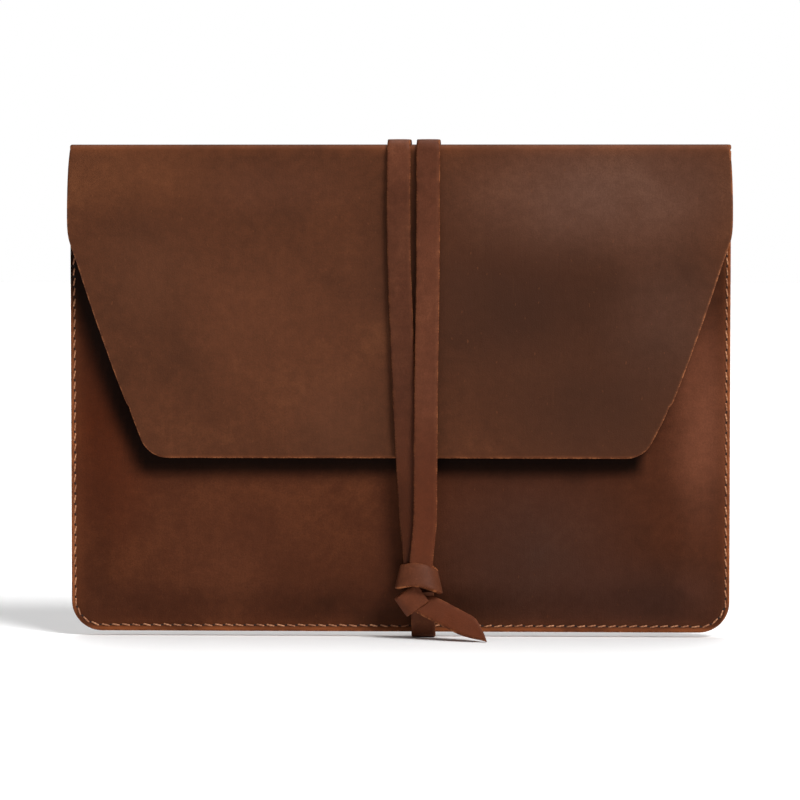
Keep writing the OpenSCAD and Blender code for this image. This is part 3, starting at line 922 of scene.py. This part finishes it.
def seam(tag, node, seed, out, place, top):
    """The row of stitches along the left, bottom and right edges, on one face, and the holes between them."""
    rng = np.random.default_rng(seed)
    stitches, holes = Collector(), Collector()

    def spot(t, side):
        x, up, angle = seam_spot(t)
        here = place(np.array([side * x]), np.array([top - BOTTOM_Z - up]), np.zeros(1))[0]
        return here, np.array([side * math.cos(angle), 0, math.sin(angle)])

    serial = 0
    for side in (-1, 1):
        for i in range(int(seam_length() / PITCH)):
            wobble = rng.uniform(-0.12, 0.12, 2) * MM
            here, along = spot((i + 0.5) * PITCH + wobble[0], side)
            across = np.cross(out, along)
            tilt = math.radians(STITCH_TILT * side + rng.uniform(-TILT_SPREAD, TILT_SPREAD))
            slanted = along * math.cos(tilt) + across * math.sin(tilt)
            length = STITCH_L + rng.uniform(-0.1, 0.1) * MM
            add_stitch(stitches, here + across * wobble[1] + out * STITCH_LIFT, slanted, out, length, serial)
            serial += 1
            here, along = spot((i + 1) * PITCH, side)
            add_hole(holes, here + out * HOLE_LIFT, along, out, serial)
    here, along = spot(0.0, 1)
    add_hole(holes, here + out * HOLE_LIFT, along, out, serial)
    stitches.build(f"seam_thread_{tag}", thread, node)
    holes.build(f"seam_holes_{tag}", hole_dark)


seam("front", "front_stitching", 7, -BACKWARD, front_place, PANEL_TOP)
seam("back", "back_stitching", 8, BACKWARD, back_place, TOP_Z)


# ---- the strap ----

SECTION = [  # across (share of half the width), up (share of half the thickness), bare edge, inner side
    (-0.93, 1, 0.10, 0), (-0.66, 1.05, 0, 0), (-0.33, 1.08, 0, 0), (0, 1.09, 0, 0), (0.33, 1.08, 0, 0),
    (0.66, 1.05, 0, 0), (0.93, 1, 0.10, 0),
    (0.985, 0.80, 0.8, 0), (1.0, 0.35, 1, 0), (1.0, -0.40, 1, 0), (0.985, -0.85, 1, 0.3),
    (0.92, -1, 0.3, 1), (0.5, -1, 0, 1), (0, -1, 0, 1), (-0.5, -1, 0, 1), (-0.92, -1, 0.3, 1),
    (-0.985, -0.85, 1, 0.3), (-1.0, -0.40, 1, 0), (-1.0, 0.35, 1, 0), (-0.985, 0.80, 0.8, 0),
]
CURVE_STEPS = 24
CREASE_STEP, FINE_STEP, BACK_STEP, LONG_STEP = 0.7 * MM, 0.6 * MM, 0.9 * MM, 1.5 * MM
PIECE_APART = 0.05  # how far apart the stretches lie in the leather's own x
STRAP_UNEVEN = 0.012
STRAND_OVERLAP = 0.25 * MM  # of a strand and the stretch over the crease
STRAND_AIR = 0.55 * MM  # the strands hang a little clear of the flap


def curve_through(points, step):
    """Evenly spaced points on a smooth curve through the control points (Catmull-Rom)."""
    p = np.array(points, float)
    p = np.vstack([2 * p[0] - p[1], p, 2 * p[-1] - p[-2]])
    dense = []
    for i in range(1, len(p) - 2):
        for t in np.linspace(0, 1, CURVE_STEPS, endpoint=False):
            a, b, c, d = p[i - 1], p[i], p[i + 1], p[i + 2]
            dense.append(0.5 * (2 * b + (c - a) * t + (2 * a - 5 * b + 4 * c - d) * t ** 2
                                + (3 * b - a - 3 * c + d) * t ** 3))
    dense.append(p[-2])
    dense = np.array(dense)
    run = np.concatenate([[0], np.cumsum(np.linalg.norm(np.diff(dense[:, :3], axis=0), axis=1))])
    stops = np.linspace(0, run[-1], max(2, int(run[-1] / step)) + 1)
    return np.stack([np.interp(stops, run, dense[:, k]) for k in range(p.shape[1])], 1)


def full(_):
    return 1.0


def full_halves(_):
    return 1.0, 1.0


def unshaded(_):
    return 0.0


def ribbon(name, stations, seed, start, step, width=1.0,
           taper=full, slim=full, halves=full_halves, shade=unshaded):
    """A strap swept along stations of (x, y, z, nx, ny, nz), its middle and the way its face looks. start is
    where the stretch begins along the whole strap, and where it ends is returned with the piece. width
    scales it. As functions of the share of the run, taper narrows it, slim narrows its face, halves scales
    the negative and the positive side apart for a slanted end, and shade darkens it."""
    path = curve_through(stations, step)
    centre, face = path[:, :3], path[:, 3:6]
    tangent = np.gradient(centre, axis=0)
    tangent /= np.linalg.norm(tangent, axis=1)[:, None]
    across = np.cross(face, tangent)
    across /= np.linalg.norm(across, axis=1)[:, None]
    up = np.cross(tangent, across)
    run = np.concatenate([[0], np.cumsum(np.linalg.norm(np.diff(centre, axis=0), axis=1))])
    share = run / run[-1]
    uneven = 1 + STRAP_UNEVEN * waves(run + start, np.full_like(run, seed), 51, 22 * MM)
    verts, flat, rim, flesh = [], [], [], []
    for i in range(len(centre)):
        half = STRAP_W / 2 * uneven[i] * width * taper(share[i])
        low_side, high_side = halves(share[i])
        for a, h, bare, inner in SECTION:
            squeeze = slim(share[i]) if h > 0 else 1
            share_across = (a * squeeze + 1) / 2
            reach = half * (high_side * share_across - low_side * (1 - share_across))
            verts.append(centre[i] + across[i] * reach + up[i] * h * STRAP_T / 2)
            flat.append((a * half + seed * PIECE_APART, run[i] + start, seed * 0.1 + (0.02 if inner else 0)))
            rim.append(bare)
            flesh.append(inner)
    k = len(SECTION)
    faces = []
    for i in range(len(centre) - 1):
        for j in range(k):
            m = (j + 1) % k
            faces.append((i * k + j, i * k + m, (i + 1) * k + m, (i + 1) * k + j))
    last = (len(centre) - 1) * k
    first_cap, last_cap = tuple(range(k))[::-1], tuple(range(last, last + k))
    faces += [first_cap, last_cap]
    sharp = [(a, b) for cap in (first_cap, last_cap) for a, b in zip(cap, cap[1:] + cap[:1])]
    shades = np.repeat([shade(t) for t in share], k)
    values = {"rim": rim, "flesh": flesh, "wear": [0.0] * len(verts), "shade": shades}
    obj = make_object(name, verts, faces, strap_leather, values, flat, sharp)
    return obj, start + run[-1]


def over_cap(x, side):
    """From the middle of the cap over a crease: side is -1 for the front and 1 for the back."""
    crease_y = FRONT_Y + FOLD_R if side < 0 else BACK_Y - FOLD_R
    radius = FOLD_R + STRAP_LIFT
    points = [(x, y, TOP_Z + STRAP_LIFT, 0, 0, 1) for y in (CAP_MID_Y, (CAP_MID_Y + crease_y) / 2)]
    for a in np.linspace(0, math.pi / 2, 7):
        s, c = math.sin(a), math.cos(a)
        points.append((x, crease_y + side * radius * s, TOP_Z - FOLD_R + radius * c, 0, side * s, c))
    return points


def squeezed(t):
    """Each strand is pulled a little narrower where it goes over the crease."""
    return 1 - 0.07 * smooth((t - 0.35) / 0.25) * (1 - smooth((t - 0.78) / 0.22))


for tag, x, seed in (("left", LEFT_X, 1), ("right", RIGHT_X, 2)):
    piece, strand_start = ribbon(f"strap_over_front_{tag}", over_cap(x, -1), seed, 0.3, CREASE_STEP,
                                 slim=squeezed)
    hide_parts(f"strap_top_{tag}")
    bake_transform(piece)


def back_face_y(x, z):
    """Where the back's outer face is at (x, z)."""
    return back_place(np.array([x]), np.array([TOP_Z - z]), np.zeros(1))[0][1]


def down_back(points):
    """Stations down the back, on the leather, through (x, z)."""
    faces = [max(back_face_y(x, z), back_face_y(x + STRAP_W / 2, z)) for x, z in points]
    return [(x, face_y + STRAP_LIFT, z, 0, 1, 0) for (x, z), face_y in zip(points, faces)]


def behind(depth, z, *face):
    """A station of the run under the edge, at a depth behind the seam plane."""
    return (UNDER_X, SEAM_Y + depth * MM, z, *face)


UNDER_X = (foot_low.x + foot_high.x) / 2
UNDER_Z = STRAP_T * 0.55 + 0.03 * MM  # middle of the strap where it lies on the floor
back_run = [(x * MM, z * MM) for x, z in (
    (LEFT_X, 190), (LEFT_X, 170), (LEFT_X, 150), (0.5, 126), (2.9, 96), (6.0, 62), (8.8, 34), (9.7, 20))]
long_path = over_cap(LEFT_X, 1) + down_back(back_run + [(UNDER_X, 13 * MM)])
long_path += [behind(4.0, 7.5 * MM, 0, 1, 0.1), behind(3.7, 3.6 * MM, 0, 1, -0.2)]
long_path.append(behind(2.9, 1.6 * MM, 0, 0.6, -0.8))
long_path += [behind(depth, UNDER_Z, 0, 0, -1) for depth in (1.4, -0.6)]
piece, _ = ribbon("strap_back_long", long_path, 3, 0.3, BACK_STEP)
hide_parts("strap_back_run")
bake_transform(piece)


# the end that is sewn to the back, and its box of stitches

END_STITCHES = 4  # up each side of the box, and two across
BOX_W, BOX_H = STRAP_W - 3.6 * MM, 15 * MM
BOX_Z = sewn_low.z + 3.5 * MM
BOX_Y = back_face_y(RIGHT_X, sewn_low.z + 10 * MM) + STRAP_GAP + STRAP_T * 1.04


def round_end(t):
    return 1 - 0.35 * smooth((t - 0.965) / 0.035) ** 2


sewn_heights = (190 * MM, 175 * MM, 160 * MM, sewn_low.z + 1 * MM, sewn_low.z)
sewn_path = over_cap(RIGHT_X, 1) + down_back([(RIGHT_X, z) for z in sewn_heights])
piece, _ = ribbon("strap_sewn_end", sewn_path, 4, 0.3, BACK_STEP, taper=round_end)
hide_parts("strap_sewn_end")
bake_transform(piece)

box_spots = [(side * BOX_W / 2, (i + 0.5) * BOX_H / END_STITCHES, UP, 3.4 * MM)
             for side in (-1, 1) for i in range(END_STITCHES)]
box_spots += [(side * BOX_W / 4, z, RIGHT, 2.7 * MM) for z in (0, BOX_H) for side in (-1, 1)]
box_stitches = Collector()
for serial, (x, z, along, length) in enumerate(box_spots):
    add_stitch(box_stitches, np.array([RIGHT_X + x, BOX_Y, BOX_Z + z]), along, BACKWARD, length, serial)
box_stitches.build("strap_end_thread", thread, "strap_end_stitching")


# the two strands in front

def on_flap(x, z, layers=0.0):
    """Middle of a strand that lies on the flap, at (x, z) in millimetres, with strap layers under it."""
    x, z = x * MM, z * MM
    stand = float(flap_stand(np.array([x]), np.array([TOP_Z - z]))[0])
    air = STRAND_AIR * smooth((TOP_Z - z - 4 * MM) / (14 * MM))
    y = FRONT_Y - stand - STRAP_LIFT - layers * (STRAP_T + 0.15 * MM) - air
    return (x, y, z, 0, -1, 0)


def in_front(x, depth, z, face=(0, -1, 0)):
    """A station at a depth in front of the seam plane, in millimetres."""
    return (x * MM, SEAM_Y - depth * MM, z * MM, *face)


strand_top = (TOP_Z - FOLD_R + STRAND_OVERLAP) / MM
left_strand = [on_flap(x, z) for x, z in (
    (LEFT_X, strand_top), (LEFT_X, strand_top - 2), (-0.1, 180), (0.1, 158), (0.9, 135), (2.0, 110),
    (3.2, 84))]
left_strand += [in_front(x, depth, z) for x, depth, z in (
    (3.8, 14.0, 72), (5.0, 12.9, 52), (6.2, 12.2, 38), (6.8, 11.6, 30), (7.3, 11.0, 22))]
right_strand = [on_flap(x, z, layers) for x, z, layers in (
    (RIGHT_X / MM, strand_top, 0), (RIGHT_X / MM, strand_top - 2, 0), (12.0, 180, 0), (12.0, 158, 0),
    (11.8, 138, 0.15), (11.5, 118, 0.9), (11.3, 98, 1.05), (11.2, 80, 1.1))]
right_strand += [in_front(x, depth, z) for x, depth, z in (
    (11.1, 15.9, 70), (11.0, 14.9, 52), (10.3, 14.4, 42), (9.4, 14.2, 33), (9.0, 13.4, 24))]


def painted_strand_shade(t):
    """Painted shade: the left strand is darker, most of all low down, where the right one lies over it and
    shades it.
    """
    return 0.32 * smooth(t / 0.12) + 0.18 * smooth((t - 0.70) / 0.1)


for tag, path, seed, shade in (("left", left_strand, 1, painted_strand_shade), ("right", right_strand, 2, unshaded)):
    piece, _ = ribbon(f"strap_front_{tag}", path, seed, strand_start - STRAND_OVERLAP, LONG_STEP, shade=shade)
    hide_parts(f"strap_{tag}")
    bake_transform(piece)


# the foot of the loop, from the hitch down to the bottom edge
foot = [in_front(x, depth, z, face) for x, depth, z, face in (
    (9.6, 13.2, 20, (0, -1, 0)), (9.8, 11.4, 15, (0, -1, -0.25)), (9.9, 8.6, 10, (0, -0.9, -0.35)),
    (9.9, 6.2, 6.2, (0, -0.95, -0.25)), (9.9, 5.0, 3.4, (0, -0.95, -0.3)), (9.9, 4.0, 1.55, (0, -0.6, -0.8)),
    (9.9, 2.6, 1.03, (0, 0, -1)), (9.9, 0.7, 1.03, (0, 0, -1)))]
piece, _ = ribbon("strap_foot", foot, 6, 0.5, FINE_STEP, width=1.02)
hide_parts("strap_bottom_turn")
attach(piece, "strap")


# the hitch: a band once round both strands (sizes in millimetres)

BAND_X, BAND_HALF_W = 8.3, 7.9
BAND_DEPTH, BAND_HALF_DEPTH = 12.3, 4.0
BAND_Z, BAND_CROWN_X, BAND_DROOP = 27.0, 6.5, 0.036
BAND_ROUND = 0.86  # 1 is an ellipse, and less is squarer
BAND_LEAN, BAND_FRONT_LEAN = 0.24, 0.16


def band_station(angle):
    """Round the strands, from the back, up over the front and down again to the right."""
    c, s = math.cos(angle), math.sin(angle)
    x = BAND_X + BAND_HALF_W * math.copysign(abs(c) ** BAND_ROUND, c)
    depth = BAND_DEPTH + BAND_HALF_DEPTH * math.copysign(abs(s) ** BAND_ROUND, s)
    z = BAND_Z - BAND_DROOP * (x - BAND_CROWN_X) ** 2
    return in_front(x, depth, z, (c, -s, BAND_LEAN + BAND_FRONT_LEAN * max(s, 0)))


band = [band_station(a) for a in np.linspace(-0.5 * math.pi, 1.5 * math.pi, 29)]
piece, _ = ribbon("knot_band", band, 7, 0.56, CREASE_STEP, width=1.02)
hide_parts("knot_band")
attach(piece, "strap")


# the turn that lies across: it comes from behind, folds at the lower left and tucks up under the band

TURN = (0.81, 0.58)  # its direction, up to the right
FOLD_PLACE = (1.0, 13.3)  # its folded edge


def turn_station(run, depth, face):
    """A station on the slanting turn: run is counted up to the right from its folded edge."""
    return in_front(FOLD_PLACE[0] + TURN[0] * run, depth, FOLD_PLACE[1] + TURN[1] * run,
                    (-TURN[0] * face[0], -face[1], -TURN[1] * face[0] + face[2]))


turn = [turn_station(run, depth, face) for run, depth, face in (
    (7.5, 9.2, (0, -1, 0)), (4.5, 9.0, (0, -1, 0)), (2.4, 9.3, (0.3, -0.95, 0)), (0.9, 10.6, (0.85, -0.5, 0)),
    (0.55, 12.2, (1, 0, 0)), (1.0, 13.9, (0.8, 0.6, 0)), (2.6, 15.1, (0.25, 0.95, 0.05)),
    (5.0, 15.4, (0.0, 1, 0.12)), (8.0, 15.3, (-0.05, 1, 0.12)), (11.0, 15.0, (-0.1, 1, 0.1)))]
piece, _ = ribbon("knot_turn", turn, 8, 0.60, FINE_STEP, width=0.95)
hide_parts("knot_cross")
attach(piece, "strap")


# the loose end, cut aslant, comes out under the turn and runs down to the floor

TAIL_FACE = (0.30, -0.92, 0.25)


def tail_halves(t):
    """The upper edge is cut back to a point on the lower one."""
    upper = 1 - 1.46 * max(0.0, (t - 0.70) / 0.30) ** 1.6
    lower = 1 - 0.48 * smooth((t - 0.62) / 0.38)
    return lower, upper


tail_path = [in_front(x, depth, z, TAIL_FACE) for x, depth, z in (
    (7.6, 13.6, 16.4), (10.2, 14.1, 15.1), (13.0, 15.0, 13.7), (16.5, 16.0, 12.1), (21.0, 17.2, 9.9),
    (26.3, 18.7, 7.3), (31.8, 20.3, 4.6), (37.2, 21.8, 2.55))]
piece, _ = ribbon("strap_tail", tail_path, 9, 0.64, FINE_STEP, halves=tail_halves)
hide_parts("strap_tail")
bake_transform(piece)


# ---- camera, light and floor ----

VIEW_AZIMUTH = math.radians(2.1)
VIEW_ELEVATION = math.radians(3.0)
VIEW_DISTANCE = 1.7
VIEW_WIDTH = 0.3279  # width of the picture in the plane of the flap
AIM = Vector((0.0005, FRONT_Y - 0.002, 0.0985))
SENSOR_W = 36  # millimetres


def outward(azimuth, elevation):
    """The direction from the object, with the azimuth counted to the right of the front."""
    flat = math.cos(elevation)
    return Vector((math.sin(azimuth) * flat, -math.cos(azimuth) * flat, math.sin(elevation)))


def sun_light(name, azimuth, elevation, power, softness):
    """A distant soft box, with its angles in degrees."""
    data = bpy.data.lights.new(name, "SUN")
    data.energy = power
    data.angle = math.radians(softness)
    obj = bpy.data.objects.new(name, data)
    bpy.context.scene.collection.objects.link(obj)
    obj.location = outward(math.radians(azimuth), math.radians(elevation))
    obj.rotation_mode = "QUATERNION"
    obj.rotation_quaternion = Vector(obj.location).to_track_quat("Z", "Y")


def stage_plane(name, corners, material):
    make_object(name, corners, [(0, 1, 2, 3)], material)


scene = bpy.context.scene
to_camera = outward(VIEW_AZIMUTH, VIEW_ELEVATION)
camera_data = bpy.data.cameras.new("camera")
camera_data.sensor_width = SENSOR_W
camera_data.lens = SENSOR_W * VIEW_DISTANCE / VIEW_WIDTH
camera_data.clip_start = 0.05
camera_data.clip_end = 60
camera = bpy.data.objects.new("camera", camera_data)
camera.location = AIM + to_camera * VIEW_DISTANCE
camera.rotation_mode = "QUATERNION"
camera.rotation_quaternion = (-to_camera).to_track_quat("-Z", "Y")
scene.collection.objects.link(camera)
scene.camera = camera

world = bpy.data.worlds.new("studio")
world.use_nodes = True
world.node_tree.nodes["Background"].inputs["Color"].default_value = (1, 1, 1, 1)
world.node_tree.nodes["Background"].inputs["Strength"].default_value = 0.11
scene.world = world
scene.view_settings.view_transform = "Standard"
sun_light("key", 42, 45, 3.35, 24)
sun_light("rim", 176, 76, 1.55, 34)
stage_plane("floor", [(-9, -9, 0), (9, -9, 0), (9, 9, 0), (-9, 9, 0)], floor_material())
stage_plane("backdrop", [(-4, 6, 0), (4, 6, 0), (4, 6, 5), (-4, 6, 5)], glow_material())
